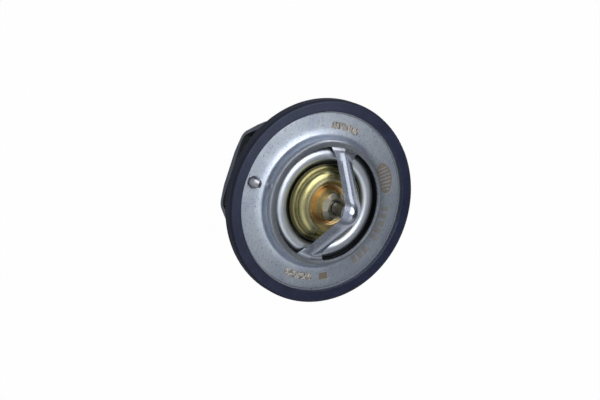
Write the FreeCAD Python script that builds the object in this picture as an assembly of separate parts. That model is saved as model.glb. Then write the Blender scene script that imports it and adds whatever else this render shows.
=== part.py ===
import FreeCAD, Part
import math
import os

# A wax-pellet engine thermostat, in millimetres.
# +Z is the axis, from the wax capsule towards the bridge that holds the piston.
# X runs along the bridge and the lower frame, and the vent pin stands at -Y.
# The origin is on the axis, in the middle of the flange and of its rubber ring.

Vector = FreeCAD.Vector
AXIS = Vector(0, 0, 1)
CENTRE = Vector(0, 0, 0)

# Flange, seat collar and bridge, pressed from one sheet
SHEET = 1.3                # thickness of the flange and collar
COLLAR_FOOT_R = 18.0       # where the collar's outer wall meets the flange
FLANGE_WIDTH = 8.0         # from the collar's foot to the edge inside the rubber ring
COLLAR_WALL_RUN = 0.75     # how far the collar's wall leans in on its way up
COLLAR_FOOT_BEND = 1.0     # outer radius at the foot
COLLAR_CREST_BEND = 2.0    # outer radius at the crest
COLLAR_TOP = 4.05          # crest above the flange's middle
COLLAR_RIM = 1.55          # from the wall's top in to the cut edge of the windows
FLANGE_EDGE_ROUND = 0.3    # die roll on the outer edge

ARM_SHEET = 0.9            # the arms are thinned by the drawing
ARM_ANGLE = 46.7           # rise of the arms, degrees
ARM_HALF_WIDTH = 2.5
ARM_ROOT_HALF_WIDTH = 5.3
ARM_FLANK = 35.0           # fall of the ridge's sides, degrees
ARM_ROOT_FLANK = 4.0
ARM_CREST_ROUND = 2.2      # radius of the ridge's crest
ARM_INNER_ROUND = 1.2
ARM_FLARE_X = 12.0         # from here outwards the arm widens into the collar
ARM_ROOT_LAP = 0.15        # how far the arm's root runs into the collar
ARM_ROOT_DROP = 0.05
ARM_ROOT_BEND = 2.0
ARM_STATIONS = 12          # cross-sections from the root to the apex
SLOPE_STEP = 0.05          # run over which the ridge's slope is taken
APEX_TOP = 18.15
APEX_BEND = 3.4

# Socket under the apex, which takes the piston's upper end
SOCKET_WALL = 0.5
SOCKET_DEPTH = 1.8
SOCKET_ROOF = 1.15
SOCKET_RIM_ROUND = 0.2
SOCKET_SHOULDER = 2.2      # round over the piston's end, which swells the ridge's flanks
SOCKET_SINK = 0.12         # keeps its top under the ridge's crest

# Rubber ring, a U in section, snapped over the flange's edge
GASKET_WALL = 2.0          # rubber outside the flange's edge
GASKET_GRIP = 1.3          # how far its lips reach in over the flange
GASKET_THICK = 3.7
GASKET_ROUND = 0.8
GASKET_LIP_ROUND = 0.35
GASKET_FIT = 0.02          # room between the ring's groove and the flange's edge

# Lower frame, a bent strap whose two tabs are staked in the flange
FRAME_SHEET = 1.3
FRAME_BASE_Z = -24.15      # middle of the base's sheet
FRAME_BASE_HALF_WIDTH = 15.6  # at the bends
FRAME_BASE_BOW = 0.9       # how far the base's edges bow out between the bends
FRAME_SPRING_ROOM = 0.1    # between the base coil and the bends at the base
FRAME_LEG_ROOM = 1.9       # from the valve's brim to the legs' upright ends
FRAME_LEG_Z = -9.0         # where a leg turns upright
FRAME_BEND = 2.0
FRAME_KNEE_HALF_WIDTH = 14.2
FRAME_KNEE_Z = -17.5
FRAME_SHOULDER_HALF_WIDTH = 6.4
FRAME_SHOULDER_Z = -4.0
FRAME_CORNER_ROUND = 3.0
GUIDE_COLLAR_DROP = 1.8    # burred collar under the base, round the capsule
GUIDE_COLLAR_WALL = 0.9
GUIDE_COLLAR_BEND = 0.9
CAPSULE_RUN = 0.3          # room round the capsule in the frame

TAB_SPREAD = 0.72          # the staked ends' middle stands this far outside the legs'
TAB_HALF_WIDTH = 4.4
TAB_THICK = 1.75
TAB_END_ROUND = 0.5        # corners of the tab ends
TAB_PROUD = 0.12           # staked metal above the flange
SLOT_FIT = 0.03

# Valve, a pressed ring that seats under the collar
VALVE_SHEET = 0.9
VALVE_SEAT_LAP = 0.4       # how far the brim reaches out under the flange
SEAT_GAP = 0.1             # between the brim and the flange at rest
VALVE_BRIM = 2.1           # from the brim's edge in to the crown's outer slope
VALVE_SLOPE_RUN = 2.05
VALVE_CROWN_TOP = 2.85
VALVE_CROWN_WIDTH = 2.5    # between the crown's outer and inner shoulders
VALVE_WELL_DEPTH = 2.4
VALVE_CROWN_BEND = 1.5     # bend radii are of the sheet's middle
VALVE_WELL_BEND = 1.2
VALVE_FOOT_BEND = 0.8
VALVE_BORE_FIT = 0.05

# Wax element: brass case, turned guide, rubber sleeve, wax and piston
CASE_R = 8.0
CASE_WALL = 1.1
CASE_END_Z = -39.65
CASE_END_ROUND = 1.2
NECK_TOP_R = 9.4           # the case widens to this under the valve
NECK_TOP_Z = -2.0
NECK_FOOT_Z = -3.4
CASE_FLANGE_R = 10.8
CASE_FLANGE_TOP = 3.25
CASE_FLANGE_FOOT_ROUND = 0.7
CASE_FLANGE_ROUND = 1.2
CRIMP_WALL_R = 9.55
CRIMP_SHOULDER_R = 9.2
CRIMP_SHOULDER_Z = 4.7
CRIMP_SHOULDER_ROUND = 2.0
CRIMP_RIM_ROUND = 0.35
CRIMP_RIM_R = 6.75
CRIMP_TOP = 6.4
CRIMP_LIP_R = 5.6
CRIMP_LIP_Z = 5.05
CRIMP_LIP_THICK = 0.5
CHAMBER_R = 7.8            # holds the guide's flange and the sleeve's flange
CHAMBER_FLOOR = 0.9

PISTON_R = 1.9
PISTON_RUN = 0.04          # radial room in the guide and the sleeve
PISTON_LOW = -22.0
PISTON_TIP_ROUND = 0.8
PISTON_SOCKET_FIT = 0.02
PISTON_END_GAP = 0.05

GUIDE_NECK_R = 3.9
GUIDE_NECK_TOP = 9.15
GUIDE_CONE_FOOT_R = 5.15   # the neck widens to this in the groove
GUIDE_CONE_TOP = 6.7
GUIDE_GROOVE_R = 5.45
GUIDE_GROOVE_Z = 3.45
GUIDE_CONE_FOOT_ROUND = 0.35
GUIDE_CONE_TOP_ROUND = 1.5
GUIDE_BORE_LIP = 0.2       # room round the piston at the crimped mouth
GUIDE_MOUTH_THICK = 0.7
GUIDE_HEX_DROP = 1.5       # height of the six crimped flats
GUIDE_HEX_LEAN = 40.0      # lean of each flat from upright, degrees
PRESS_FIT = 0.02           # room kept between pieces that are pressed together

WIPER_R = 2.95
WIPER_THICK = 1.2
BACKUP_R = 3.3
BACKUP_THICK = 1.0

SLEEVE_FLANGE_THICK = 0.8
SLEEVE_R = 3.5
SLEEVE_END_WALL = 1.6
SLEEVE_END_ROUND = 1.2

# Main spring, conical, with closed ends that lie flat
WIRE_R = 0.9
SPRING_TOP_INSET = 1.25    # from the crown's inner shoulder to the wire's middle
SPRING_BASE_ROOM = 1.3     # from the capsule to the wire's middle
SPRING_TURNS = 5.25
SPRING_FLAT_TURNS = 0.5    # flat part of each end coil
SPRING_EASE_TURNS = 0.2    # over which the wire leaves the flat part
SPRING_SEAT_GAP = 0.05
SPRING_POINTS_PER_TURN = 16

# Vent pin, loose in its hole in the flange
VENT_INSET = 4.2           # from the flange's edge to the pin's middle
VENT_HOLE_R = 1.5
VENT_BEVEL = 0.3
VENT_SHANK_R = 0.9
VENT_HEAD_HALF_WIDTH = 1.9
VENT_HEAD_THICK = 2.0
VENT_HEAD_HEIGHT = 3.9
VENT_HEAD_BELLY = 1.0      # height of the widest part
VENT_HEAD_CHEEK = 0.33     # where the head reaches its full width
VENT_HEAD_TIP_R = 0.5      # the head's end, pinched to this radius front to back
VENT_CHEEK_ROUND = 0.3
VENT_BELLY_ROUND = 0.6
VENT_TIP_ROUND = 0.5
VENT_REST_GAP = 0.03
VENT_TRAVEL = 1.5
VENT_WEIGHT_R = 2.1
VENT_WEIGHT_LENGTH = 3.2
VENT_WEIGHT_ROUND = 1.2
VENT_WEIGHT_NECK_ROUND = 0.6
VENT_RUN = 0.1

# Levels that several pieces share
FLANGE_FACE = SHEET / 2
FLANGE_R = COLLAR_FOOT_R + FLANGE_WIDTH
COLLAR_CREST_R = COLLAR_FOOT_R - COLLAR_WALL_RUN
WINDOW_R = COLLAR_CREST_R - COLLAR_RIM
VALVE_R = COLLAR_FOOT_R + VALVE_SEAT_LAP
VALVE_SLOPE_R = VALVE_R - VALVE_BRIM
VALVE_CROWN_R = VALVE_SLOPE_R - VALVE_SLOPE_RUN
VALVE_WELL_R = VALVE_CROWN_R - VALVE_CROWN_WIDTH
SPRING_TOP_R = VALVE_WELL_R + SPRING_TOP_INSET
SPRING_BASE_R = CASE_R + SPRING_BASE_ROOM
FRAME_BASE_REACH = SPRING_BASE_R + WIRE_R + FRAME_SPRING_ROOM
FRAME_LEG_X = VALVE_R + FRAME_LEG_ROOM
GASKET_R = FLANGE_R + GASKET_WALL
GASKET_LIP_R = FLANGE_R - GASKET_GRIP
TAB_R = FRAME_LEG_X + TAB_SPREAD
VENT_R = FLANGE_R - VENT_INSET
FRAME_SEAT = FRAME_BASE_Z + FRAME_SHEET / 2
VALVE_BRIM_MID = -FLANGE_FACE - SEAT_GAP - VALVE_SHEET / 2
VALVE_CROWN_MID = VALVE_CROWN_TOP - VALVE_SHEET / 2
VALVE_FLOOR_MID = VALVE_CROWN_TOP - VALVE_WELL_DEPTH - VALVE_SHEET / 2
CASE_FLANGE_SEAT = VALVE_FLOOR_MID + VALVE_SHEET / 2
CRIMP_SEAT = CRIMP_LIP_Z - CRIMP_LIP_THICK
SLEEVE_TOP = CHAMBER_FLOOR + SLEEVE_FLANGE_THICK
SOCKET_TOP = APEX_TOP - SOCKET_ROOF
MOUTH_FLOOR = GUIDE_NECK_TOP - GUIDE_MOUTH_THICK
SLEEVE_BORE_LOW = PISTON_LOW - PISTON_RUN


def rounded_face(corners):
    """A flat face in the XZ plane from corners (x, z, radius), in order round its outline."""
    points = [Vector(x, 0, z) for x, z, _ in corners]
    joints = []
    for i, here in enumerate(points):
        radius = corners[i][2]
        if radius == 0:
            joints.append((here, None, here))
            continue
        back = (points[i - 1] - here).normalize()
        ahead = (points[(i + 1) % len(points)] - here).normalize()
        half_angle = back.getAngle(ahead) / 2
        reach = radius / math.tan(half_angle)
        inward = (back + ahead).normalize()
        middle = here + inward * (radius / math.sin(half_angle) - radius)
        joints.append((here + back * reach, middle, here + ahead * reach))
    edges = []
    for i, (start, middle, end) in enumerate(joints):
        if middle is not None:
            edges.append(Part.Arc(start, middle, end).toShape())
        following = joints[(i + 1) % len(joints)][0]
        if end.distanceToPoint(following) > 1e-6:
            edges.append(Part.LineSegment(end, following).toShape())
    return Part.Face(Part.Wire(edges))


def sheet_face(path, thickness):
    """The section of a pressed sheet whose middle runs along path, as (x, z, bend radius)."""
    points = [Vector(x, 0, z) for x, z, _ in path]
    runs = [(b - a).normalize() for a, b in zip(points, points[1:])]
    normals = [Vector(-run.z, 0, run.x) for run in runs]
    left, right = [], []
    for i, point in enumerate(points):
        before = normals[max(i - 1, 0)]
        after = normals[min(i, len(runs) - 1)]
        across = (before + after).normalize()
        shift = thickness / 2 / math.cos(before.getAngle(after) / 2)
        turn = math.copysign(1, before.x * after.z - before.z * after.x)
        for side, corners in ((1, left), (-1, right)):
            place = point + across * (shift * side)
            bend = path[i][2] - turn * side * thickness / 2 if path[i][2] else 0
            corners.append((place.x, place.z, max(bend, 0)))
    return rounded_face(left + right[::-1])


def turned(face):
    """A solid of revolution about the axis."""
    return face.revolve(CENTRE, AXIS, 360)


def rod(radius, low, high, x=0, y=0):
    return Part.makeCylinder(radius, high - low, Vector(x, y, low), AXIS)


def prism_along_x(corners, low, high):
    """A solid that runs along X, with an outline of (y, z, radius) corners."""
    face = rounded_face(corners)
    face.rotate(CENTRE, AXIS, 90)
    face.translate(Vector(low, 0, 0))
    return face.extrude(Vector(high - low, 0, 0))


def crest_height(x):
    """Height of the bridge's ridge line: a bend at the root, a straight rise, a round apex."""
    angle = math.radians(ARM_ANGLE)
    root = COLLAR_TOP - ARM_ROOT_DROP
    ridge_meeting = APEX_TOP + APEX_BEND * (1 / math.cos(angle) - 1)
    corner = (ridge_meeting - root) / math.tan(angle)
    reach = ARM_ROOT_BEND * math.tan(angle / 2)
    if x <= APEX_BEND * math.sin(angle):
        return APEX_TOP - APEX_BEND + math.sqrt(APEX_BEND ** 2 - x ** 2)
    if x < corner - reach * math.cos(angle):
        return ridge_meeting - x * math.tan(angle)
    if x < corner + reach:
        return root + ARM_ROOT_BEND - math.sqrt(ARM_ROOT_BEND ** 2 - (x - corner - reach) ** 2)
    return root


def ridge_points(x, crest, half_width, flank, radius):
    """Foot, tangent point and crest of one side of a rounded ridge, in the plane at x."""
    turn_y = radius * math.sin(flank)
    turn_z = crest - radius * (1 - math.cos(flank))
    foot_z = turn_z - (half_width - turn_y) * math.tan(flank)
    return Vector(x, half_width, foot_z), Vector(x, turn_y, turn_z), Vector(x, 0, crest)


def arm_section(x):
    """Closed cross-section of the bridge's sheet at x."""
    out = abs(x)
    root_x = WINDOW_R + ARM_ROOT_LAP
    share = max(0.0, (out - ARM_FLARE_X) / (root_x - ARM_FLARE_X))
    half_width = ARM_HALF_WIDTH + (ARM_ROOT_HALF_WIDTH - ARM_HALF_WIDTH) * share ** 2
    flank = math.radians(ARM_FLANK + (ARM_ROOT_FLANK - ARM_FLANK) * math.sin(share * math.pi / 2))
    crest = crest_height(out)
    slope = (crest - crest_height(out + SLOPE_STEP)) / SLOPE_STEP
    depth = ARM_SHEET * math.hypot(1, slope)
    foot, turn, top = ridge_points(x, crest, half_width, flank, ARM_CREST_ROUND)
    sharpen = (ARM_CREST_ROUND - ARM_INNER_ROUND) * (1 / math.cos(flank) - 1)
    apart = (depth + sharpen) * math.cos(flank)
    inner = ridge_points(x, crest - depth, half_width - apart * math.sin(flank), flank, ARM_INNER_ROUND)
    inner_foot, inner_turn, inner_top = inner

    def mirror(point):
        return Vector(point.x, -point.y, point.z)

    edges = [
        Part.LineSegment(mirror(foot), mirror(turn)),
        Part.Arc(mirror(turn), top, turn),
        Part.LineSegment(turn, foot),
        Part.LineSegment(foot, inner_foot),
        Part.LineSegment(inner_foot, inner_turn),
        Part.Arc(inner_turn, inner_top, mirror(inner_turn)),
        Part.LineSegment(mirror(inner_turn), mirror(inner_foot)),
        Part.LineSegment(mirror(inner_foot), mirror(foot)),
    ]
    return Part.Wire([edge.toShape() for edge in edges])


def tab_block(fit, low, high, side):
    """A staked tab end on the +X or -X side, bent round the axis, or its slot if fit is its room."""
    outer_r = TAB_R + TAB_THICK / 2 + fit
    inner_r = TAB_R - TAB_THICK / 2 - fit
    half_width = TAB_HALF_WIDTH + fit
    ring = rod(outer_r, low, high).cut(rod(inner_r, low, high))
    corner = Vector(min(side, 0) * FLANGE_R, -half_width, low)
    block = ring.common(Part.makeBox(FLANGE_R, 2 * half_width, high - low, corner))
    uprights = [e for e in block.Edges if is_upright(e) and abs(abs(e.Vertexes[0].Y) - half_width) < 1e-3]
    return block.makeFillet(TAB_END_ROUND + fit, uprights)


def is_upright(edge):
    ends = [vertex.Point for vertex in edge.Vertexes]
    return len(ends) == 2 and ends[0].distanceToPoint(Vector(ends[1].x, ends[1].y, ends[0].z)) < 1e-6


def flange_bridge():
    """Flange, seat collar and the ridged bridge over the two windows."""
    wall_lean = math.atan2(COLLAR_TOP - FLANGE_FACE, COLLAR_FOOT_R - COLLAR_CREST_R)
    step_in = FLANGE_FACE * math.tan(wall_lean / 2)
    path = [
        (FLANGE_R, 0, 0),
        (COLLAR_FOOT_R - step_in, 0, COLLAR_FOOT_BEND + FLANGE_FACE),
        (COLLAR_CREST_R - step_in, COLLAR_TOP - FLANGE_FACE, COLLAR_CREST_BEND - FLANGE_FACE),
        (WINDOW_R, COLLAR_TOP - FLANGE_FACE, 0),
    ]
    body = turned(sheet_face(path, SHEET))
    rims = [e for e in body.Edges if e.BoundBox.XMax > FLANGE_R - 1e-3 and len(e.Vertexes) == 1]
    body = body.makeFillet(FLANGE_EDGE_ROUND, rims)
    root_x = WINDOW_R + ARM_ROOT_LAP
    stations = [root_x * math.cos(math.pi * i / (2 * ARM_STATIONS)) for i in range(2 * ARM_STATIONS + 1)]
    bridge = Part.makeLoft([arm_section(x) for x in stations], True, False)
    knob_r = PISTON_R + PISTON_SOCKET_FIT + SOCKET_WALL
    knob_top = APEX_TOP - SOCKET_SINK
    knob = turned(rounded_face([
        (0, SOCKET_TOP - SOCKET_DEPTH, 0),
        (knob_r, SOCKET_TOP - SOCKET_DEPTH, SOCKET_RIM_ROUND),
        (knob_r, knob_top, SOCKET_SHOULDER),
        (0, knob_top, 0),
    ]))
    body = body.fuse([bridge, knob])
    body = body.cut(rod(PISTON_R + PISTON_SOCKET_FIT, SOCKET_TOP - 2 * SOCKET_DEPTH, SOCKET_TOP))
    for side in (1, -1):
        body = body.cut(tab_block(SLOT_FIT, -SHEET, SHEET, side))
    body = body.cut(rod(VENT_HOLE_R, -SHEET, SHEET, 0, -VENT_R))
    bevel_foot = Vector(0, -VENT_R, FLANGE_FACE - VENT_BEVEL)
    bevel = Part.makeCone(VENT_HOLE_R, VENT_HOLE_R + 2 * VENT_BEVEL, 2 * VENT_BEVEL, bevel_foot, AXIS)
    return body.cut(bevel)


def gasket():
    """Rubber ring with a U section, whose groove takes the flange's edge."""
    half = GASKET_THICK / 2
    groove_r = FLANGE_R + GASKET_FIT
    groove_half = FLANGE_FACE + GASKET_FIT
    return turned(rounded_face([
        (GASKET_LIP_R, -half, GASKET_LIP_ROUND),
        (GASKET_R, -half, GASKET_ROUND),
        (GASKET_R, half, GASKET_ROUND),
        (GASKET_LIP_R, half, GASKET_LIP_ROUND),
        (GASKET_LIP_R, groove_half, 0),
        (groove_r, groove_half, 0),
        (groove_r, -groove_half, 0),
        (GASKET_LIP_R, -groove_half, 0),
    ]))


def lower_frame():
    """Bent strap that carries the spring, guides the capsule and is staked in the flange."""
    under_flange = -FLANGE_FACE
    half = FRAME_BASE_HALF_WIDTH + FRAME_BASE_BOW + FRAME_SHEET
    strap = sheet_face([
        (-FRAME_LEG_X, under_flange, 0),
        (-FRAME_LEG_X, FRAME_LEG_Z, FRAME_BEND),
        (-FRAME_BASE_REACH, FRAME_BASE_Z, FRAME_BEND),
        (FRAME_BASE_REACH, FRAME_BASE_Z, FRAME_BEND),
        (FRAME_LEG_X, FRAME_LEG_Z, FRAME_BEND),
        (FRAME_LEG_X, under_flange, 0),
    ], FRAME_SHEET)
    strap.translate(Vector(0, -half, 0))
    strap = strap.extrude(Vector(0, 2 * half, 0))
    low = FRAME_BASE_Z - FRAME_SHEET
    widest = FRAME_BASE_HALF_WIDTH + FRAME_BASE_BOW
    edge = [
        (widest, low, 0),
        (FRAME_KNEE_HALF_WIDTH, FRAME_KNEE_Z, FRAME_CORNER_ROUND),
        (FRAME_SHOULDER_HALF_WIDTH, FRAME_SHOULDER_Z, FRAME_CORNER_ROUND),
        (FRAME_SHOULDER_HALF_WIDTH, under_flange, 0),
    ]
    outline = edge + [(-y, z, radius) for y, z, radius in reversed(edge)]
    reach = FRAME_LEG_X + FRAME_SHEET
    frame = strap.common(prism_along_x(outline, -reach, reach))
    bow_r = (FRAME_BASE_REACH ** 2 + FRAME_BASE_BOW ** 2) / (2 * FRAME_BASE_BOW)
    for side in (1, -1):
        frame = frame.common(rod(bow_r, low, SHEET, 0, side * (widest - bow_r)))
    bore = CASE_R + CAPSULE_RUN
    collar_mid = bore + GUIDE_COLLAR_WALL / 2
    collar = turned(sheet_face([
        (collar_mid + 2 * GUIDE_COLLAR_BEND, FRAME_BASE_Z, 0),
        (collar_mid, FRAME_BASE_Z, GUIDE_COLLAR_BEND),
        (collar_mid, FRAME_BASE_Z - FRAME_SHEET / 2 - GUIDE_COLLAR_DROP, 0),
    ], GUIDE_COLLAR_WALL))
    hole = rod(collar_mid + GUIDE_COLLAR_BEND, FRAME_BASE_Z - FRAME_SHEET, FRAME_BASE_Z + FRAME_SHEET)
    frame = frame.cut(hole).fuse(collar)
    for side in (1, -1):
        frame = frame.fuse(tab_block(0, under_flange, FLANGE_FACE + TAB_PROUD, side))
    return frame


def valve_disc():
    """Pressed ring: brim, crown and a well whose floor the wax element's flange sits on."""
    return turned(sheet_face([
        (VALVE_R, VALVE_BRIM_MID, 0),
        (VALVE_SLOPE_R, VALVE_BRIM_MID, VALVE_FOOT_BEND),
        (VALVE_CROWN_R, VALVE_CROWN_MID, VALVE_CROWN_BEND),
        (VALVE_WELL_R, VALVE_CROWN_MID, VALVE_WELL_BEND),
        (VALVE_WELL_R, VALVE_FLOOR_MID, VALVE_FOOT_BEND),
        (NECK_TOP_R + VALVE_BORE_FIT, VALVE_FLOOR_MID, 0),
    ], VALVE_SHEET))


def case_cavity():
    """The space inside the case below the chamber."""
    inner_r = CASE_R - CASE_WALL
    return turned(rounded_face([
        (0, CHAMBER_FLOOR, 0),
        (0, CASE_END_Z + CASE_WALL, 0),
        (inner_r, CASE_END_Z + CASE_WALL, CASE_END_ROUND),
        (inner_r, CHAMBER_FLOOR, 0),
    ]))


def element_case():
    """Brass case: capsule, flange and the rim that is rolled over the guide."""
    outer = turned(rounded_face([
        (0, CASE_END_Z, 0),
        (CASE_R, CASE_END_Z, CASE_END_ROUND),
        (CASE_R, NECK_FOOT_Z, 0),
        (NECK_TOP_R, NECK_TOP_Z, 0),
        (NECK_TOP_R, CASE_FLANGE_SEAT, 0),
        (CASE_FLANGE_R, CASE_FLANGE_SEAT, CASE_FLANGE_FOOT_ROUND),
        (CASE_FLANGE_R, CASE_FLANGE_TOP, CASE_FLANGE_ROUND),
        (CRIMP_WALL_R, CASE_FLANGE_TOP, 0),
        (CRIMP_SHOULDER_R, CRIMP_SHOULDER_Z, CRIMP_SHOULDER_ROUND),
        (CRIMP_RIM_R, CRIMP_TOP, CRIMP_RIM_ROUND),
        (CRIMP_LIP_R, CRIMP_LIP_Z, 0),
        (CRIMP_LIP_R, CRIMP_SEAT, 0),
        (0, CRIMP_SEAT, 0),
    ]))
    return outer.cut(rod(CHAMBER_R, CHAMBER_FLOOR, CRIMP_SEAT)).cut(case_cavity())


def element_guide():
    """Turned guide: flange under the rolled rim, neck with a crimped six-sided mouth."""
    outer = turned(rounded_face([
        (0, SLEEVE_TOP, 0),
        (CHAMBER_R - PRESS_FIT, SLEEVE_TOP, 0),
        (CHAMBER_R - PRESS_FIT, CRIMP_SEAT, 0),
        (GUIDE_GROOVE_R, CRIMP_SEAT, 0),
        (GUIDE_GROOVE_R, GUIDE_GROOVE_Z, 0),
        (GUIDE_CONE_FOOT_R, GUIDE_GROOVE_Z, GUIDE_CONE_FOOT_ROUND),
        (GUIDE_NECK_R, GUIDE_CONE_TOP, GUIDE_CONE_TOP_ROUND),
        (GUIDE_NECK_R, GUIDE_NECK_TOP, 0),
        (0, GUIDE_NECK_TOP, 0),
    ]))
    lean = math.radians(GUIDE_HEX_LEAN)
    inner_flat = GUIDE_NECK_R - GUIDE_HEX_DROP * math.tan(lean)
    cutter_face = rounded_face([
        (inner_flat, GUIDE_NECK_TOP, 0),
        (GUIDE_NECK_R, GUIDE_NECK_TOP - GUIDE_HEX_DROP, 0),
        (2 * GUIDE_NECK_R, GUIDE_NECK_TOP - GUIDE_HEX_DROP, 0),
        (2 * GUIDE_NECK_R, GUIDE_NECK_TOP + GUIDE_HEX_DROP, 0),
        (inner_flat, GUIDE_NECK_TOP + GUIDE_HEX_DROP, 0),
    ])
    cutter_face.translate(Vector(0, -2 * GUIDE_NECK_R, 0))
    cutter = cutter_face.extrude(Vector(0, 4 * GUIDE_NECK_R, 0))
    for flat in range(6):
        side = cutter.copy()
        side.rotate(CENTRE, AXIS, 60 * flat + 30)
        outer = outer.cut(side)
    bores = [
        rod(PISTON_R + PISTON_RUN, SLEEVE_TOP, MOUTH_FLOOR),
        rod(BACKUP_R, SLEEVE_TOP, SLEEVE_TOP + BACKUP_THICK),
        rod(WIPER_R, MOUTH_FLOOR - WIPER_THICK, MOUTH_FLOOR),
        rod(PISTON_R + GUIDE_BORE_LIP, MOUTH_FLOOR - WIPER_THICK, GUIDE_NECK_TOP),
    ]
    for bore in bores:
        outer = outer.cut(bore)
    return outer


def washer(outer_r, low, thickness):
    """A ring round the piston, pressed into a bore of outer_r."""
    ring = rod(outer_r - PRESS_FIT, low, low + thickness)
    return ring.cut(rod(PISTON_R + PISTON_RUN, low - thickness, low + 2 * thickness))


def sleeve_blank():
    """Outside of the rubber sleeve."""
    return turned(rounded_face([
        (0, SLEEVE_BORE_LOW - SLEEVE_END_WALL, 0),
        (SLEEVE_R, SLEEVE_BORE_LOW - SLEEVE_END_WALL, SLEEVE_END_ROUND),
        (SLEEVE_R, CHAMBER_FLOOR, 0),
        (CHAMBER_R - PRESS_FIT, CHAMBER_FLOOR, 0),
        (CHAMBER_R - PRESS_FIT, SLEEVE_TOP, 0),
        (0, SLEEVE_TOP, 0),
    ]))


def seal_sleeve():
    """Rubber sleeve, closed at its lower end, which the wax squeezes on the piston."""
    return sleeve_blank().cut(rod(PISTON_R + PISTON_RUN, SLEEVE_BORE_LOW, SLEEVE_TOP))


def wax_charge():
    """Wax that fills the case round the sleeve."""
    return case_cavity().cut(sleeve_blank())


def piston():
    """Steel piston: its upper end sits in the bridge's socket, its lower end in the sleeve."""
    return turned(rounded_face([
        (0, PISTON_LOW, 0),
        (PISTON_R, PISTON_LOW, PISTON_TIP_ROUND),
        (PISTON_R, SOCKET_TOP - PISTON_END_GAP, PISTON_TIP_ROUND / 2),
        (0, SOCKET_TOP - PISTON_END_GAP, 0),
    ]))


def spring_point(turn):
    """Middle of the wire after this many turns from the base."""
    low = FRAME_SEAT + SPRING_SEAT_GAP + WIRE_R
    high = VALVE_CROWN_TOP - VALVE_SHEET - SPRING_SEAT_GAP - WIRE_R
    rising = SPRING_TURNS - 2 * SPRING_FLAT_TURNS - SPRING_EASE_TURNS

    def eased(turns):
        """Turns climbed at the full pitch, when this many have passed since the flat part."""
        if turns <= 0:
            return 0.0
        if turns < SPRING_EASE_TURNS:
            return turns ** 2 / (2 * SPRING_EASE_TURNS)
        return turns - SPRING_EASE_TURNS / 2

    from_base = eased(turn - SPRING_FLAT_TURNS)
    to_top = eased(SPRING_TURNS - SPRING_FLAT_TURNS - turn)
    share = from_base / rising if turn < SPRING_TURNS / 2 else 1 - to_top / rising
    radius = SPRING_BASE_R + (SPRING_TOP_R - SPRING_BASE_R) * share
    angle = 2 * math.pi * turn
    return Vector(radius * math.cos(angle), radius * math.sin(angle), low + (high - low) * share)


def main_spring():
    """Conical coil between the lower frame's base and the valve's crown."""
    steps = int(SPRING_TURNS * SPRING_POINTS_PER_TURN)
    points = [spring_point(SPRING_TURNS * i / steps) for i in range(steps + 1)]
    curve = Part.BSplineCurve()
    curve.interpolate(points)
    path = Part.Wire([curve.toShape()])
    start = curve.tangent(curve.FirstParameter)[0]
    section = Part.Wire([Part.Circle(points[0], start, WIRE_R).toShape()])
    coil = Part.BRepOffsetAPI.MakePipeShell(path)
    coil.setFrenetMode(True)
    coil.add(section)
    coil.build()
    coil.makeSolid()
    return coil.shape()


def vent_pin():
    """Loose pin: a pointed flattened head over the flange, and a weight under it."""
    rest = FLANGE_FACE + VENT_REST_GAP
    under = -FLANGE_FACE - VENT_TRAVEL - VENT_RUN
    spade = rounded_face([
        (-VENT_SHANK_R, rest - VENT_BEVEL, 0),
        (VENT_SHANK_R, rest - VENT_BEVEL, 0),
        (VENT_HEAD_HALF_WIDTH, rest + VENT_HEAD_CHEEK, VENT_CHEEK_ROUND),
        (VENT_HEAD_HALF_WIDTH, rest + VENT_HEAD_BELLY, VENT_BELLY_ROUND),
        (0, rest + VENT_HEAD_HEIGHT, VENT_TIP_ROUND),
        (-VENT_HEAD_HALF_WIDTH, rest + VENT_HEAD_BELLY, VENT_BELLY_ROUND),
        (-VENT_HEAD_HALF_WIDTH, rest + VENT_HEAD_CHEEK, VENT_CHEEK_ROUND),
    ])
    spade.translate(Vector(0, -VENT_HEAD_THICK / 2, 0))
    head = spade.extrude(Vector(0, VENT_HEAD_THICK, 0))
    pinch_foot = Vector(0, 0, rest - VENT_BEVEL)
    pinch_height = VENT_HEAD_HEIGHT + VENT_BEVEL
    head = head.common(
        Part.makeCone(VENT_HEAD_HALF_WIDTH + VENT_BEVEL, VENT_HEAD_TIP_R, pinch_height, pinch_foot, AXIS)
    )
    head.rotate(CENTRE, AXIS, 90)
    weight = turned(rounded_face([
        (0, under - VENT_WEIGHT_LENGTH, 0),
        (VENT_WEIGHT_R, under - VENT_WEIGHT_LENGTH, VENT_WEIGHT_ROUND),
        (VENT_WEIGHT_R, under, VENT_WEIGHT_NECK_ROUND),
        (0, under, 0),
    ]))
    shank = rod(VENT_SHANK_R, under - VENT_WEIGHT_LENGTH / 2, rest)
    pin = head.fuse([shank, weight])
    pin.translate(Vector(0, -VENT_R, 0))
    return pin


PIECES = {
    "flange_bridge": flange_bridge,
    "gasket": gasket,
    "lower_frame": lower_frame,
    "valve_disc": valve_disc,
    "element_case": element_case,
    "element_guide": element_guide,
    "wiper_ring": lambda: washer(WIPER_R, MOUTH_FLOOR - WIPER_THICK, WIPER_THICK),
    "backup_ring": lambda: washer(BACKUP_R, SLEEVE_TOP, BACKUP_THICK),
    "seal_sleeve": seal_sleeve,
    "wax_charge": wax_charge,
    "piston": piston,
    "main_spring": main_spring,
    "vent_pin": vent_pin,
}


def main():
    os.makedirs("parts", exist_ok=True)
    for name, make in PIECES.items():
        shape = make()
        solids = shape.Solids
        if len(solids) != 1 or not solids[0].isValid():
            raise RuntimeError(f"{name} has {len(solids)} solids or is not valid")
        solids[0].exportStep(f"parts/{name}.step")
        box = solids[0].BoundBox
        print(f"{name}: {solids[0].Volume:.1f} mm3, z {box.ZMin:.2f} to {box.ZMax:.2f}")


main()
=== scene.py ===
import math

import bmesh
import bpy
from mathutils import Matrix, Vector


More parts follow.
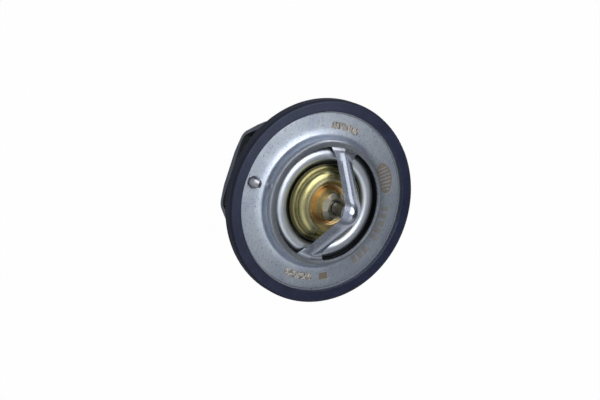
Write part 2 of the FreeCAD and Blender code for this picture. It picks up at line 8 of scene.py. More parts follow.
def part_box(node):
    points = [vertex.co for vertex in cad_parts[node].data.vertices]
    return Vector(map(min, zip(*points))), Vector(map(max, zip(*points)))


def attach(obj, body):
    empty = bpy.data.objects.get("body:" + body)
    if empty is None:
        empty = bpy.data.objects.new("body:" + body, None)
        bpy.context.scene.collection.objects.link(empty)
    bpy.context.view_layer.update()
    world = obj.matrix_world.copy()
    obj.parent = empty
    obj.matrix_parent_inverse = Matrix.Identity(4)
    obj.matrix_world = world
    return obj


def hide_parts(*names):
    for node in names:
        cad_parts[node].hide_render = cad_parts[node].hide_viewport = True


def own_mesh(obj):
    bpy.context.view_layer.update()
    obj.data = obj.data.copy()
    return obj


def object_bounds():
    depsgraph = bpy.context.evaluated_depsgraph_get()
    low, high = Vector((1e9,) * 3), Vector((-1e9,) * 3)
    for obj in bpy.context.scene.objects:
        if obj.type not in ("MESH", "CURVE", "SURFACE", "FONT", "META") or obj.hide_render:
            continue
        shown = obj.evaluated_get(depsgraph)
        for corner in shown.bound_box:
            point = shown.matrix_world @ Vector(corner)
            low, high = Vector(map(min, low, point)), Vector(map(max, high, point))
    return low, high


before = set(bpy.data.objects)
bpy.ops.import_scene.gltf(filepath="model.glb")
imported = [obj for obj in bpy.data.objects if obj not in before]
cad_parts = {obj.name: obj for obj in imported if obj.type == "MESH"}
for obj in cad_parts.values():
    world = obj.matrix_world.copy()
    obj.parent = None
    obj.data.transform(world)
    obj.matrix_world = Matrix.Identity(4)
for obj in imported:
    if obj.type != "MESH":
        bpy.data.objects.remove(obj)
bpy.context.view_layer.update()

# The looks of a wax-pellet engine thermostat: materials, spring, studio and camera.
# Places are in metres in the part's own frame: +Z is the axis, X runs along the bridge.

MM = 0.001


def radius_of(node):
    """Outer radius of a round solid, in millimetres."""
    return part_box(node)[1].x / MM


# The photograph's viewpoint, in the part's frame
VIEW_RIGHT = Vector((-0.3087, 0.8244, 0.4745))
VIEW_UP = Vector((-0.9488, -0.2318, -0.2148))
VIEW_BACK = Vector((-0.0671, -0.5166, 0.8537))
VIEW_PLACE = Vector((-0.02882, -0.237911, 0.382839))
LENS = 100.2
SENSOR_WIDTH = 36
CLIP_START = 0.01

# Studio
DARK_SIDE = Vector((-0.204, 0.569, 0.797))    # towards the room's dark side
FLOOR_HALF_SIZE = 3.0
FLOOR_ROUGHNESS = 0.9
FLOOR_WHITENESS = 0.98                        # share of plain white that the camera sees on the floor
FLOOR_GLOSS_SHARE = 0.3                       # how much of that a mirrored ray sees
LAMP_DISTANCE = 0.6

# Main spring, as in the solid that it stands for
WIRE_R = 0.9 * MM
SPRING_TOP_R = 13.0 * MM
SPRING_BASE_R = 9.3 * MM
SPRING_TURNS = 5.25
SPRING_FLAT_TURNS = 0.5
SPRING_EASE_TURNS = 0.2
SPRING_POINTS_PER_TURN = 48
WIRE_SIDES = 16
VALVE_LIFT = 8.0 * MM

# From here on, lengths are in millimetres: radii from the axis, and heights above the flange's
# middle. A pair is where a change in the looks starts and where it ends.
RING_R = radius_of("gasket")
FLANGE_R = radius_of("flange_bridge")
VALVE_R = radius_of("valve_disc")
CASE_FLANGE_R = radius_of("element_case")
COLLAR_FOOT_R = FLANGE_R - 8.0
LIP_R = RING_R - 3.3                          # inner edge of the rubber ring's lips

# Flange, collar and bridge
FLAT_R = (COLLAR_FOOT_R - 0.1, COLLAR_FOOT_R + 0.7)
FLAT_TOP_Z = (0.8, 1.1)
PLEATS_R = (COLLAR_FOOT_R - 0.4, COLLAR_FOOT_R + 3.0)
# A painted shadow line just inside the rubber lip, also sunk as a thin groove, and a painted highlight
# between it and the lip
LIP_SHADE_R = (LIP_R - 0.48, LIP_R - 0.34)
LIP_HIGHLIGHT_R = (LIP_R - 0.28, LIP_R - 0.08)
BRIDGE_R = (COLLAR_FOOT_R - 2.6, COLLAR_FOOT_R - 1.8)
BRIDGE_Z = (3.6, 4.6)
# Where painted shade lies inside the collar's wall and on the window's cut edge
INNER_WALL_R = (COLLAR_FOOT_R - 0.8, COLLAR_FOOT_R - 0.6)
INNER_WALL_Z = (2.75, 3.1)
WINDOW_EDGE_R = (COLLAR_FOOT_R - 2.25, COLLAR_FOOT_R - 2.05)
WINDOW_EDGE_Z = (3.3, 3.7)
DISH_RUN = 2.7                                # the flange dips over this towards the collar's foot
DISH_BEND = 0.055
CREST_R = COLLAR_FOOT_R - 2.36                # the collar's crest falls off outwards from here
CREST_RUN = 1.36
CREST_BEND = 2.0
CREST_SLOPE = 0.2
CREST_DEPTH = 0.9                             # share of the crest's fall that is shown
CONE_R = (COLLAR_FOOT_R - 0.1, LIP_R - 0.1)   # the flange falls a little between these
CONE_SLOPE = 0.05
SCRATCH_TURN = 0.6                            # direction of the scratches, in radians

# Plain fields etched on the flange, with angles round the axis
OVAL_TURN = math.radians(122.6)
OVAL_HALF_TURN = math.radians(13.0)
OVAL_R = 20.3
OVAL_HALF_R = 2.3
OVAL_EDGE = (0.8, 0.84)                       # the stripes end here, as shares of the oval's reach
OVAL_END = (0.94, 1.0)
OVAL_STRIPES = 9
BLOCKS = 9
BLOCK_LEFT_OUT = 3                            # this place in the row, counted from 0, stays bare
BLOCKS_START = math.radians(47.6)
BLOCK_PITCH = math.radians(5.9)
BLOCK_SPAN = (0.16, 0.84)                     # part of its pitch that a block fills
BLOCKS_R = (19.3, 21.6)
HATCHES_PER_BLOCK = 4
HATCH_LEAN = 0.5                              # blocks that the hatching moves on per millimetre outwards
SQUARE_TURN = (math.radians(18.4), math.radians(25.6))
SQUARE_R = (20.1, 22.0)
FIELDS_Z = (0.5, 0.6)
FIELD_EDGE = 0.1                              # softness of the fields' edges
BETWEEN_LINES = 0.35                          # strength of the etching between its lines

# Valve, frame, case, guide, vent pin and rubber ring
VALVE_BRIM_R = (VALVE_R - 3.1, VALVE_R - 2.6)
VALVE_WELL_R = (CASE_FLANGE_R + 0.5, CASE_FLANGE_R + 0.8)
VALVE_WELL_Z = (1.4, 2.0)
STAKED_END_Z = (0.55, 0.68)
FRAME_BASE_X = (13.0, 17.0)
CASE_TOP_Z = (0.3, 0.8)
# Painted highlights on the rolled rim and its lip
CASE_LIP_HIGHLIGHT_R = (7.2, 7.5)
CASE_RIM_HIGHLIGHT_R = (7.0, 7.8)
# Painted shade in the corner and on the flange beside the rim
CASE_CORNER_R = (CASE_FLANGE_R - 1.5, CASE_FLANGE_R - 1.1)
CASE_EDGE_R = (CASE_FLANGE_R - 1.2, CASE_FLANGE_R - 0.5)
CROWN_R = 7.7                                 # the rolled rim levels off outwards from here
CROWN_RUN = 1.5
CROWN_RISE_RUN = 1.1                          # and rises evenly over this on its inner side
CROWN_DEPTH = 0.62                            # share of that relief that is shown
VENT_SWELL = 0.14                             # fall of the pin's sides, per millimetre squared
GUIDE_NECK_Z = (5.2, 6.4)
RING_SIDE_R = (RING_R - 0.7, RING_R - 0.2)
RING_LIP_R = (LIP_R - 0.05, LIP_R + 0.1)

# Colours, as linear red, green and blue; a pair is a material's dark and light patches
FLAT_STEEL = ((0.60, 0.67, 0.83), (0.84, 0.92, 1.0))
# Drawn steel of the collar and bridge: darker than the flat sheet, partly as painted shade
DRAWN_STEEL_AND_SHADE = ((0.50, 0.54, 0.62), (0.72, 0.77, 0.86))
# Painted shade darkening the bridge's arms
BRIDGE_SHADE = (0.26, 0.30, 0.42)
SPECK = (0.20, 0.22, 0.27)
SCRATCH = (0.82, 0.86, 0.92)
ETCHING = (0.36, 0.29, 0.20)
# Painted shadow and painted highlight on the flange beside the rubber lip
LIP_SHADE = (0.10, 0.11, 0.14)
LIP_HIGHLIGHT = (0.85, 0.88, 0.95)
# Painted shade, near black, inside the collar and on the window's cut edge
COLLAR_HOLLOW_SHADE = (0.015, 0.015, 0.016)
VALVE_STEEL = ((0.74, 0.80, 0.92), (0.93, 0.97, 1.0))
# Painted shade on the valve's brim and in its hollow
VALVE_SHADE = (0.05, 0.052, 0.06)
FRAME_STEEL = ((0.24, 0.25, 0.28), (0.38, 0.40, 0.44))
# Painted shade on the frame's base and cut edges
FRAME_SHADE = (0.06, 0.07, 0.10)
STAKED_STEEL = ((0.22, 0.20, 0.19), (0.92, 0.88, 0.82))
CASE_BRASS = ((0.38, 0.34, 0.15), (0.64, 0.60, 0.30))
# Painted shade and painted highlights on the case
CASE_EDGE_SHADE = (0.11, 0.10, 0.05)
CASE_RIM_HIGHLIGHT = (0.88, 0.78, 0.48)
CASE_LIP_HIGHLIGHT = (0.95, 0.90, 0.66)
BOWL_BRASS = ((0.84, 0.67, 0.46), (1.0, 0.88, 0.68))
NECK_BRASS = ((0.66, 0.61, 0.45), (0.92, 0.87, 0.68))
RING_RUBBER = ((0.012, 0.014, 0.038), (0.023, 0.027, 0.066))
RING_BLOOM = (0.045, 0.050, 0.090)
# Painted shade on the ring's outer side and a painted shadow along its inner lip
RING_SHADE = (0.004, 0.005, 0.012)
RING_TINT = (0.72, 0.81, 1.0)
SPRING_STEEL = ((0.4, 0.4, 0.42), (0.62, 0.62, 0.64))
VENT_STEEL = ((0.32, 0.33, 0.37), (0.50, 0.51, 0.55))
PISTON_STEEL = ((0.09, 0.095, 0.11), (0.17, 0.18, 0.20))
SLEEVE_RUBBER = ((0.02, 0.02, 0.02), (0.03, 0.03, 0.03))
PALE_PLASTIC = ((0.7, 0.7, 0.66), (0.8, 0.8, 0.77))
WAX = ((0.4, 0.26, 0.16), (0.52, 0.34, 0.2))
FLOOR_WHITE = (0.9, 0.9, 0.9)
ROOM_GREY = (0.93, 0.96, 1.0)
SEEN_WHITE = (1.0, 1.0, 1.0)


class Nodes:
    """Makes and joins the nodes of one tree by short calls."""

    def __init__(self, tree):
        self.tree = tree

    def node(self, kind, inputs=None, **settings):
        made = self.tree.nodes.new("ShaderNode" + kind)
        for key, value in settings.items():
            setattr(made, key, value)
        for key, value in (inputs or {}).items():
            self.feed(made.inputs[key], value)
        return made

    def feed(self, socket, value):
        """Links a socket to another one, or sets its value; a colour is three numbers."""
        if isinstance(value, bpy.types.NodeSocket):
            self.tree.links.new(value, socket)
        elif socket.type == "RGBA":
            socket.default_value = (*value, 1)
        else:
            socket.default_value = value

    def vector(self, operation, a, b=None, scale=None, output="Vector"):
        given = {0: a, 1: b, "Scale": scale}
        inputs = {key: value for key, value in given.items() if value is not None}
        return self.node("VectorMath", inputs, operation=operation).outputs[output]

    def math(self, operation, *values):
        return self.node("Math", dict(enumerate(values)), operation=operation).outputs[0]

    def product(self, *values):
        total = values[0]
        for value in values[1:]:
            total = self.math("MULTIPLY", total, value)
        return total

    def step(self, value, low, high, start=0.0, end=1.0):
        """A smooth change from start to end as value goes from low to high."""
        inputs = {"Value": value, "From Min": low, "From Max": high, "To Min": start, "To Max": end}
        return self.node("MapRange", inputs, interpolation_type="SMOOTHSTEP").outputs["Result"]

    def fall(self, value, low, high):
        """1 up to low and 0 from high on."""
        return self.step(value, low, high, 1.0, 0.0)

    def band(self, value, low, high, soft):
        """1 between low and high, 0 outside, with soft edges."""
        rising = self.step(value, low - soft, low + soft)
        return self.product(rising, self.fall(value, high - soft, high + soft))

    def clamp(self, value, low, high):
        return self.node("Clamp", {0: value, 1: low, 2: high}).outputs[0]

    def past(self, value, start, run):
        """How far value has gone past start, up to run."""
        return self.clamp(self.math("SUBTRACT", value, start), 0.0, run)


class Shader(Nodes):
    """A material whose patterns are in millimetres."""

    def __init__(self, name):
        self.material = bpy.data.materials.new(name)
        self.material.use_nodes = True
        super().__init__(self.material.node_tree)
        self.surface = self.tree.nodes["Principled BSDF"]
        place = self.node("TexCoord").outputs["Object"]
        self.place = self.vector("SCALE", place, scale=1 / MM)
        self.x, self.y, self.z = self.node("SeparateXYZ", {0: self.place}).outputs
        flat = self.node("CombineXYZ", {0: self.x, 1: self.y}).outputs[0]
        self.radius = self.vector("LENGTH", flat, output="Value")
        self.angle = self.math("ARCTAN2", self.y, self.x)

    def noise(self, per_mm, detail=2.0, roughness=0.5, stretch=None, place=None):
        """Noise from 0 to 1; stretch is how dense it is along each direction."""
        where = place or self.place
        if stretch:
            where = self.vector("MULTIPLY", where, stretch)
        inputs = {"Vector": where, "Scale": per_mm, "Detail": detail, "Roughness": roughness}
        return self.node("TexNoise", inputs).outputs["Fac"]

    def patches(self, per_mm):
        """Soft dark and light patches."""
        return self.step(self.noise(per_mm, 3.0), 0.3, 0.7)

    def ring_noise(self, per_mm, around, roughness=0.7):
        """Marks drawn out round the axis; around is how dense they are that way, per radian."""
        turn = self.math("MULTIPLY", self.angle, around)
        place = self.node("CombineXYZ", {0: self.radius, 1: turn, 2: self.z}).outputs[0]
        return self.noise(per_mm, 3.0, roughness, place=place)

    def ray_noise(self, per_mm, detail, roughness, along, around):
        """Marks drawn out away from the axis; along and around are how dense they are each way."""
        reach = self.math("MULTIPLY", self.radius, along)
        turn = self.math("MULTIPLY", self.angle, around)
        place = self.node("CombineXYZ", {0: reach, 1: turn}).outputs[0]
        return self.noise(per_mm, detail, roughness, place=place)

    def mix_values(self, share, a, b):
        return self.node("Mix", {0: share, 2: a, 3: b}, data_type="FLOAT").outputs[0]

    def blend(self, share, a, b):
        made = self.node("Mix", {"Factor": share}, data_type="RGBA")
        self.feed(made.inputs["A"], a)
        self.feed(made.inputs["B"], b)
        return made.outputs["Result"]

    def coats(self, colour, *layers):
        """A colour with others laid over it, each given as (share, colour)."""
        for share, tint in layers:
            colour = self.blend(share, colour, tint)
        return colour

    def bump(self, *heights):
        """Relief from heights, each given as (value, millimetres for a value of 1)."""
        normal = None
        for value, distance in heights:
            made = self.node("Bump", {"Height": value, "Distance": distance * MM})
            if normal:
                self.feed(made.inputs["Normal"], normal)
            normal = made.outputs["Normal"]
        self.feed(self.surface.inputs["Normal"], normal)

    def finish(self, **values):
        """Sets the surface's inputs and hands over the material."""
        for key, value in values.items():
            self.feed(self.surface.inputs[key.replace("_", " ")], value)
        return self.material


def etched_oval(s):
    """A striped oval with a plain edge."""
    turn = s.math("DIVIDE", s.math("SUBTRACT", s.angle, OVAL_TURN), OVAL_HALF_TURN)
    out = s.math("DIVIDE", s.math("SUBTRACT", s.radius, OVAL_R), OVAL_HALF_R)
    reach = s.math("SQRT", s.math("ADD", s.product(turn, turn), s.product(out, out)))
    wave = s.math("SINE", s.math("MULTIPLY", turn, OVAL_STRIPES * math.pi))
    stripes = s.step(wave, -0.5, 0.3, BETWEEN_LINES, 1)
    edge = s.step(reach, *OVAL_EDGE)
    return s.product(s.fall(reach, *OVAL_END), s.math("MAXIMUM", stripes, edge))


def etched_blocks(s):
    """A row of hatched blocks."""
    along = s.math("DIVIDE", s.math("SUBTRACT", s.angle, BLOCKS_START), BLOCK_PITCH)
    slant = s.math("ADD", along, s.math("MULTIPLY", s.radius, HATCH_LEAN))
    wave = s.math("SINE", s.math("MULTIPLY", slant, HATCHES_PER_BLOCK * 2 * math.pi))
    hatching = s.step(wave, -0.6, 0.4, BETWEEN_LINES, 1)
    sides = s.band(s.math("FRACT", along), *BLOCK_SPAN, 0.04)
    block = s.product(sides, s.band(s.radius, *BLOCKS_R, FIELD_EDGE))
    left_out = s.band(along, BLOCK_LEFT_OUT, BLOCK_LEFT_OUT + 1, 0.02)
    row = s.product(s.band(along, 0, BLOCKS, 0.02), s.math("SUBTRACT", 1.0, left_out))
    return s.product(block, row, hatching)


def etched_fields(s):
    """Plain fields burnt into the flange: a striped oval, a row of hatched blocks and a small square."""
    square = s.product(s.band(s.angle, *SQUARE_TURN, 0.004), s.band(s.radius, *SQUARE_R, FIELD_EDGE))
    fields = s.math("MAXIMUM", s.math("MAXIMUM", etched_oval(s), etched_blocks(s)), square)
    return s.product(fields, s.step(s.z, *FIELDS_Z))


def pressed_relief(s):
    """Heights of the dish round the collar's foot, of the collar's crest and of the flange's slope."""
    slack = s.clamp(s.math("SUBTRACT", COLLAR_FOOT_R + DISH_RUN, s.radius), 0.0, DISH_RUN)
    dish = s.product(slack, slack, DISH_BEND)
    along = s.past(s.radius, CREST_R, CREST_RUN)
    bend = s.math("SQRT", s.math("SUBTRACT", CREST_BEND ** 2, s.product(along, along)))
    crest = s.math("MULTIPLY_ADD", along, CREST_SLOPE, s.math("SUBTRACT", CREST_BEND, bend))
    cone = s.clamp(s.radius, *CONE_R)
    return (dish, 1.0), (crest, CREST_DEPTH), (cone, -CONE_SLOPE)


def pressed_steel():
    """The flange's sheet: duller and speckled where flat; glossier and darker where drawn, the darkness
    partly painted shade.
    """
    s = Shader("pressed_steel")
    flat = s.product(s.step(s.radius, *FLAT_R), s.fall(s.z, *FLAT_TOP_Z))
    # The bridge's arms: glossier, and darkened with painted shade
    bridge = s.product(s.fall(s.radius, *BRIDGE_R), s.step(s.z, *BRIDGE_Z))
    # Painted shade inside the collar's wall and on the window's cut edge
    inner_wall = s.product(s.fall(s.radius, *INNER_WALL_R), s.fall(s.z, *INNER_WALL_Z))
    window_edge = s.product(s.fall(s.radius, *WINDOW_EDGE_R), s.fall(s.z, *WINDOW_EDGE_Z))
    hollow = s.math("MAXIMUM", inner_wall, window_edge)
    # Painted shadow line beside the rubber lip, also sunk as a groove, and a painted highlight next to it
    lip_shade = s.band(s.radius, *LIP_SHADE_R, 0.05)
    lip_highlight = s.band(s.radius, *LIP_HIGHLIGHT_R, 0.06)
    fields = etched_fields(s)

    grains = s.noise(2.6, 3.0, 0.75)
    mottle = s.math("MULTIPLY_ADD", s.noise(1.2, 4.0, 0.75), 1.4, -0.7)
    specks = s.step(s.noise(1.7, 2.0, 0.6), 0.60, 0.70)
    rolled = s.noise(2.4, 2.0, 0.6, stretch=(0.12, 1, 1))
    turned = {"Vector": s.place, "Angle": SCRATCH_TURN}
    slanted = s.node("VectorRotate", turned, rotation_type="Z_AXIS").outputs[0]
    scratches = s.step(s.noise(1.3, stretch=(0.05, 1, 1), place=slanted), 0.7, 0.74)
    turns = s.product(s.ring_noise(2.2, 0.5, 0.65), s.step(flat, 0, 1, 1, 0.2))
    pleats = s.product(s.ray_noise(1.2, 2.0, 0.6, along=0.3, around=45.0), s.band(s.radius, *PLEATS_R, 0.8))

    fine = s.math("MULTIPLY_ADD", s.math("ADD", grains, rolled), 0.6, -0.32)
    tone = s.math("ADD", s.math("ADD", s.product(s.patches(0.16), 0.45), fine), mottle)
    colour = s.coats(
        s.blend(flat, s.blend(tone, *DRAWN_STEEL_AND_SHADE), s.blend(tone, *FLAT_STEEL)),
        (s.product(specks, flat, 0.6), SPECK),
        (s.product(scratches, 0.5), SCRATCH),
        (s.product(fields, 0.9), ETCHING),
        (s.product(lip_shade, 0.7), LIP_SHADE),
        (s.product(lip_highlight, 0.5), LIP_HIGHLIGHT),
        (s.product(hollow, 0.95), COLLAR_HOLLOW_SHADE),
        (s.product(bridge, 0.4), BRIDGE_SHADE),
    )
    rough = s.math("SUBTRACT", s.step(flat, 0.0, 1.0, 0.30, 0.42), s.product(bridge, 0.11))
    rough = s.math("ADD", rough, s.math("MULTIPLY_ADD", grains, 0.12, -0.05))
    rough = s.math("ADD", rough, s.product(fields, 0.15))
    sunk = s.math("ADD", fields, lip_shade)
    marks = (grains, 0.006), (rolled, 0.004), (mottle, 0.004), (pleats, 0.04), (turns, 0.010), (sunk, -0.02)
    s.bump(*marks, *pressed_relief(s))
    return s.finish(Base_Color=colour, Roughness=rough, Metallic=1.0)


def valve_steel():
    """The valve's ring: fine lines from spinning, and painted shade on its brim and in its hollow."""
    s = Shader("valve_steel")
    turns = s.ring_noise(2.8, 0.35)
    grains = s.noise(3.0, 2.0, 0.6)
    brim = s.step(s.radius, *VALVE_BRIM_R)
    well = s.product(s.fall(s.radius, *VALVE_WELL_R), s.fall(s.z, *VALVE_WELL_Z))
    tone = s.math("ADD", s.product(s.patches(0.25), 0.5), s.product(turns, 0.4))
    # Painted shade on the brim and in the hollow
    shade = s.math("MAXIMUM", s.product(brim, 0.9), s.product(well, 0.8))
    colour = s.coats(s.blend(tone, *VALVE_STEEL), (shade, VALVE_SHADE))
    rough = s.math("MULTIPLY_ADD", turns, 0.16, s.step(brim, 0, 1, 0.34, 0.4))
    s.bump((grains, 0.003), (turns, 0.010))
    return s.finish(Base_Color=colour, Roughness=rough, Metallic=1.0)


def frame_steel():
    """The strap's steel: rolled lines along it, painted shade on its cut edges and base, and torn, staked
    ends.
    """
    s = Shader("frame_steel")
    grains = s.noise(2.4, 3.0, 0.7)
    rolled = s.noise(2.2, 2.0, 0.6, stretch=(1, 1, 0.1))
    ends = s.step(s.z, *STAKED_END_Z)
    # Painted shade: the base and the cut edges, picked by which way they face, darkened
    base = s.step(s.math("ABSOLUTE", s.x), *FRAME_BASE_X, 0.4, 0)
    normal = s.node("TexCoord").outputs["Normal"]
    across = s.node("SeparateXYZ", {0: normal}).outputs["Y"]
    cut = s.step(s.math("ABSOLUTE", across), 0.3, 0.6)
    torn = s.step(s.ray_noise(1.9, 3.0, 0.7, along=0.45, around=21.0), 0.34, 0.62)
    tone = s.math("ADD", s.product(s.patches(0.15), 0.5), s.product(rolled, 0.5))
    colour = s.coats(
        s.blend(tone, *FRAME_STEEL),
        (s.math("MAXIMUM", base, s.product(cut, 0.85)), FRAME_SHADE),
        (ends, s.blend(torn, *STAKED_STEEL)),
    )
    rough = s.math("ADD", s.step(ends, 0, 1, 0.27, 0.36), s.product(grains, 0.12))
    s.bump((grains, 0.004), (s.product(torn, ends), 0.12))
    return s.finish(Base_Color=colour, Roughness=rough, Metallic=1.0)


def case_brass():
    """Drawn brass: streaked down its wall and round its rim, painted highlights on rim and lip, painted
    shade beside it.
    """
    s = Shader("case_brass")
    turns = s.ring_noise(3.0, 0.35)
    grains = s.noise(3.2, 2.0, 0.6)
    drawn = s.noise(2.0, 2.0, 0.6, stretch=(1, 1, 0.08))
    above = s.step(s.z, *CASE_TOP_Z)
    corner = s.band(s.radius, *CASE_CORNER_R, 0.3)
    # Painted shade in the corner and on the flange; painted highlights on the rim and lip below
    edge_shade = s.math("MAXIMUM", s.product(corner, 0.3), s.step(s.radius, *CASE_EDGE_R))
    tone = s.math("ADD", s.product(s.patches(0.3), 0.5), s.product(turns, 0.5))
    colour = s.coats(
        s.blend(tone, *CASE_BRASS),
        (s.product(edge_shade, above, 0.8), CASE_EDGE_SHADE),
        (s.product(s.fall(s.radius, *CASE_RIM_HIGHLIGHT_R), above, 0.6), CASE_RIM_HIGHLIGHT),
        (s.product(s.band(s.radius, *CASE_LIP_HIGHLIGHT_R, 0.12), above, 0.35), CASE_LIP_HIGHLIGHT),
    )
    rise = s.past(s.radius, CROWN_R - CROWN_RISE_RUN, CROWN_RISE_RUN)
    over = s.past(s.radius, CROWN_R, CROWN_RUN)
    levelled = s.product(over, s.math("MULTIPLY_ADD", over, -0.5 / CROWN_RUN, 1.0))
    crown = s.product(s.math("ADD", rise, levelled), above)
    rough = s.math("MULTIPLY_ADD", s.mix_values(above, drawn, turns), 0.18, 0.19)
    s.bump((grains, 0.002), (s.product(turns, above), 0.009), (drawn, 0.002), (crown, CROWN_DEPTH))
    return s.finish(Base_Color=colour, Roughness=rough, Metallic=1.0)


def guide_brass():
    """Turned guide: a warm, orange bowl, and a yellower neck and mouth."""
    s = Shader("guide_brass")
    turns = s.ring_noise(3.2, 0.3)
    grains = s.noise(3.5, 2.0, 0.6)
    neck = s.step(s.z, *GUIDE_NECK_Z)
    tone = s.math("ADD", s.product(s.patches(0.5), 0.5), s.product(turns, 0.5))
    colour = s.blend(neck, s.blend(tone, *BOWL_BRASS), s.blend(tone, *NECK_BRASS))
    rough = s.math("MULTIPLY_ADD", turns, 0.14, 0.22)
    s.bump((grains, 0.002), (turns, 0.006))
    return s.finish(Base_Color=colour, Roughness=rough, Metallic=1.0)


def ring_rubber():
    """Moulded rubber with a bloom: flat faces shine softly, the outer side is dull; painted shade on it and
    at the inner lip.
    """
    s = Shader("ring_rubber")
    patches = s.patches(0.2)
    grains = s.noise(3.5, 3.0, 0.7)
    bloom = s.step(s.noise(1.2, 3.0, 0.7), 0.55, 0.75)
    # Painted shade: the outer side darker, and a painted shadow line at the inner lip
    side = s.step(s.radius, *RING_SIDE_R)
    lip = s.band(s.radius, *RING_LIP_R, 0.05)
    tone = s.math("ADD", s.product(patches, 0.7), s.product(bloom, 0.3))
    colour = s.coats(
        s.blend(tone, *RING_RUBBER),
        (s.product(bloom, 0.5), RING_BLOOM),
        (s.math("MAXIMUM", s.product(side, 0.8), s.product(lip, 0.7)), RING_SHADE),
    )
    rough = s.math("MULTIPLY_ADD", grains, 0.12, s.step(side, 0, 1, 0.42, 0.8))
    s.bump((grains, 0.005), (patches, 0.04), (s.radius, -0.15))
    return s.finish(Base_Color=colour, Roughness=rough, Specular_IOR_Level=0.7, Specular_Tint=RING_TINT)


def steel(name, dark, light, rough, swell=0.0):
    """Plain steel: fine grain and soft patches; swell rounds its sides off towards the top."""
    s = Shader(name)
    cloud = s.noise(0.18, 3.0)
    grains = s.noise(2.2, 3.0, 0.7)
    rounding = [(s.product(s.z, s.z), -swell), (s.product(s.x, s.x), -0.7 * swell)] if swell else []
    s.bump((grains, 0.004), *rounding)
    tone = s.math("MULTIPLY_ADD", grains, 0.35, s.product(s.step(cloud, 0.3, 0.7), 0.5))
    dulled = s.math("ADD", grains, s.product(cloud, 0.5))
    roughness = s.step(dulled, 0.4, 1.1, rough - 0.06, rough + 0.08)
    return s.finish(Base_Color=s.blend(tone, dark, light), Roughness=roughness, Metallic=1.0)


def rubber(name, dark, light, rough):
    s = Shader(name)
    cloud = s.noise(0.25, 3.0)
    grains = s.noise(4.0, 3.0, 0.7)
    s.bump((grains, 0.006), (cloud, 0.05))
    roughness = s.step(grains, 0.3, 0.7, rough - 0.04, rough + 0.06)
    return s.finish(Base_Color=s.blend(s.step(cloud, 0.3, 0.7), dark, light), Roughness=roughness)


def plastic(name, dark, light, rough):
    s = Shader(name)
    grains = s.noise(5.0, 2.0)
    s.bump((grains, 0.004))
    roughness = s.step(grains, 0.3, 0.7, rough, rough + 0.1)
    return s.finish(Base_Color=s.blend(s.patches(0.8), dark, light), Roughness=roughness)


def dress(node, material):
    """Gives a solid its material in every slot."""
    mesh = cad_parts[node].data
    for index in range(len(mesh.materials)):
        mesh.materials[index] = material


def dress_solids():
    dress("flange_bridge", pressed_steel())
    dress("valve_disc", valve_steel())
    dress("lower_frame", frame_steel())
    dress("vent_pin", steel("vent_steel", *VENT_STEEL, rough=0.22, swell=VENT_SWELL))
    dress("piston", steel("piston_steel", *PISTON_STEEL, rough=0.26))
    dress("element_case", case_brass())
    dress("element_guide", guide_brass())
    dress("gasket", ring_rubber())
    dress("seal_sleeve", rubber("sleeve_rubber", *SLEEVE_RUBBER, rough=0.55))
    dress("wiper_ring", plastic("wiper_plastic", *PALE_PLASTIC, rough=0.4))
    dress("backup_ring", plastic("backup_plastic", *PALE_PLASTIC, rough=0.4))
    dress("wax_charge", plastic("wax", *WAX, rough=0.5))


def spring_line(turn, low, high):
    """Middle of the wire after this many turns from the base, between two levels."""
    rising = SPRING_TURNS - 2 * SPRING_FLAT_TURNS - SPRING_EASE_TURNS

    def eased(turns):
        if turns <= 0:
            return 0.0
        if turns < SPRING_EASE_TURNS:
            return turns ** 2 / (2 * SPRING_EASE_TURNS)
        return turns - SPRING_EASE_TURNS / 2

    from_base = eased(turn - SPRING_FLAT_TURNS)
    to_top = eased(SPRING_TURNS - SPRING_FLAT_TURNS - turn)
    share = from_base / rising if turn < SPRING_TURNS / 2 else 1 - to_top / rising
    radius = SPRING_BASE_R + (SPRING_TOP_R - SPRING_BASE_R) * share
    angle = 2 * math.pi * turn
    return Vector((radius * math.cos(angle), radius * math.sin(angle), low + (high - low) * share))


def round_wire(name, line):
    """Round wire along a line of points, with plain cut ends."""
    mesh = bmesh.new()
    loops = []
    last = len(line) - 1
    for i, middle in enumerate(line):
        ahead = (line[min(i + 1, last)] - line[max(i - 1, 0)]).normalized()
        outward = Vector((middle.x, middle.y, 0)).normalized()
        outward = (outward - ahead * outward.dot(ahead)).normalized()
        side = ahead.cross(outward)
        loop = []
        for k in range(WIRE_SIDES):
            turn = 2 * math.pi * k / WIRE_SIDES
            loop.append(mesh.verts.new(middle + (outward * math.cos(turn) + side * math.sin(turn)) * WIRE_R))
        loops.append(loop)
    for a, b in zip(loops, loops[1:]):
        for k in range(WIRE_SIDES):
            after = (k + 1) % WIRE_SIDES
            mesh.faces.new((a[k], a[after], b[after], b[k])).smooth = True
    mesh.faces.new(loops[0][::-1])
    mesh.faces.new(loops[-1])
    mesh.normal_update()
    data = bpy.data.meshes.new(name)
    mesh.to_mesh(data)
    mesh.free()
    return bpy.data.objects.new(name, data)


def make_spring():
    """The coil that stands for the solid spring."""
    low, high = (corner.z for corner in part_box("main_spring"))
    steps = int(SPRING_TURNS * SPRING_POINTS_PER_TURN)
    line = [spring_line(SPRING_TURNS * i / steps, low + WIRE_R, high - WIRE_R) for i in range(steps + 1)]
    coil = round_wire("spring_coil", line)
    bpy.context.scene.collection.objects.link(coil)
    coil.data.materials.append(steel("spring_steel", *SPRING_STEEL, rough=0.3))
    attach(coil, "housing")
    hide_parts("main_spring")
    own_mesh(coil)


def make_camera():
    data = bpy.data.cameras.new("camera")
    data.lens = LENS
    data.sensor_width = SENSOR_WIDTH
    data.clip_start = CLIP_START
    camera = bpy.data.objects.new("camera", data)
    turn = Matrix((VIEW_RIGHT, VIEW_UP, VIEW_BACK)).transposed().to_4x4()
    camera.matrix_world = Matrix.Translation(VIEW_PLACE) @ turn
    bpy.context.scene.collection.objects.link(camera)
    bpy.context.scene.camera = camera


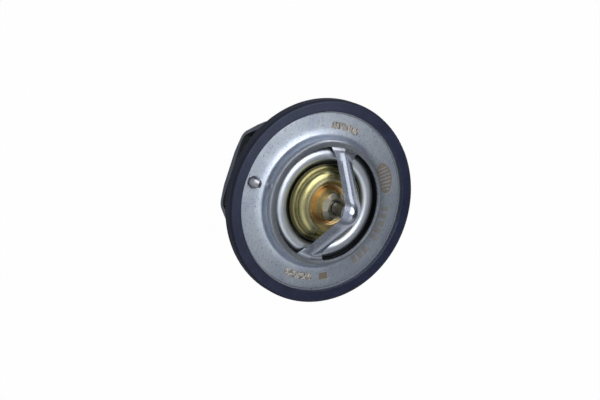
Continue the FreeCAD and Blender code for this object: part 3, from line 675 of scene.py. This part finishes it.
def floor_material():
    """White paint that the camera sees nearly as plain white, so that only a faint shadow shows."""
    material = bpy.data.materials.new("floor_white")
    material.use_nodes = True
    n = Nodes(material.node_tree)
    paint = n.tree.nodes["Principled BSDF"]
    n.feed(paint.inputs["Base Color"], FLOOR_WHITE)
    n.feed(paint.inputs["Roughness"], FLOOR_ROUGHNESS)
    ray = n.node("LightPath").outputs
    seen = n.math("MULTIPLY_ADD", ray["Is Glossy Ray"], FLOOR_GLOSS_SHARE, ray["Is Camera Ray"])
    share = n.product(seen, FLOOR_WHITENESS)
    glow = n.node("Emission")
    mix = n.node("MixShader", {0: share, 1: paint.outputs[0], 2: glow.outputs[0]})
    n.feed(n.tree.nodes["Material Output"].inputs[0], mix.outputs[0])
    return material


def make_floor():
    """A square floor, low enough for the lifted valve."""
    size = FLOOR_HALF_SIZE
    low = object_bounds()[0].z - VALVE_LIFT
    mesh = bpy.data.meshes.new("floor")
    corners = [(-size, -size, low), (size, -size, low), (size, size, low), (-size, size, low)]
    mesh.from_pydata(corners, [], [(0, 1, 2, 3)])
    mesh.materials.append(floor_material())
    floor = bpy.data.objects.new("floor", mesh)
    bpy.context.scene.collection.objects.link(floor)


def make_world():
    """A grey room, darker towards the horizon and on one side, that the camera sees as white."""
    world = bpy.data.worlds.new("studio")
    world.use_nodes = True
    n = Nodes(world.node_tree)
    toward = n.node("TexCoord").outputs["Generated"]
    height = n.node("SeparateXYZ", {0: toward}).outputs["Z"]
    rise = n.step(height, 0.0, 0.85, 0.16, 0.62)
    aside = n.vector("DOT_PRODUCT", toward, DARK_SIDE, output="Value")
    shade = n.step(aside, 0.62, 0.90, 1.0, 0.14)
    room = n.tree.nodes["Background"]
    n.feed(room.inputs["Color"], ROOM_GREY)
    n.feed(room.inputs["Strength"], n.product(rise, shade))
    white = n.node("Background", {"Color": SEEN_WHITE})
    by_camera = n.node("LightPath").outputs["Is Camera Ray"]
    mix = n.node("MixShader", {0: by_camera, 1: room.outputs[0], 2: white.outputs[0]})
    n.feed(n.tree.nodes["World Output"].inputs[0], mix.outputs[0])
    bpy.context.scene.world = world


def softbox(name, right, up, back, width, height, glow, distance=LAMP_DISTANCE, shape="RECTANGLE"):
    """A lamp of even brightness, placed by its direction as seen from the photograph's viewpoint."""
    direction = (VIEW_RIGHT * right + VIEW_UP * up + VIEW_BACK * back).normalized()
    filled = math.pi / 4 if shape == "ELLIPSE" else 1
    data = bpy.data.lights.new(name, "AREA")
    data.shape = shape
    data.size = width
    data.size_y = height
    data.energy = glow * math.pi * width * height * filled
    lamp = bpy.data.objects.new(name, data)
    lamp.location = direction * distance
    lamp.rotation_mode = "QUATERNION"
    lamp.rotation_quaternion = direction.to_track_quat("Z", "Y")
    bpy.context.scene.collection.objects.link(lamp)


def make_studio():
    bpy.context.scene.view_settings.view_transform = "Standard"
    make_camera()
    make_floor()
    make_world()
    softbox("key", right=0.5, up=0.25, back=0.83, width=0.24, height=0.26, glow=2.3,
            distance=0.27, shape="ELLIPSE")
    softbox("overhead", right=0.5, up=0.86, back=0.05, width=0.3, height=0.22, glow=1.3)
    softbox("fill_low", right=0.3, up=-0.66, back=0.69, width=0.25, height=0.25, glow=0.35)


make_studio()
dress_solids()
make_spring()
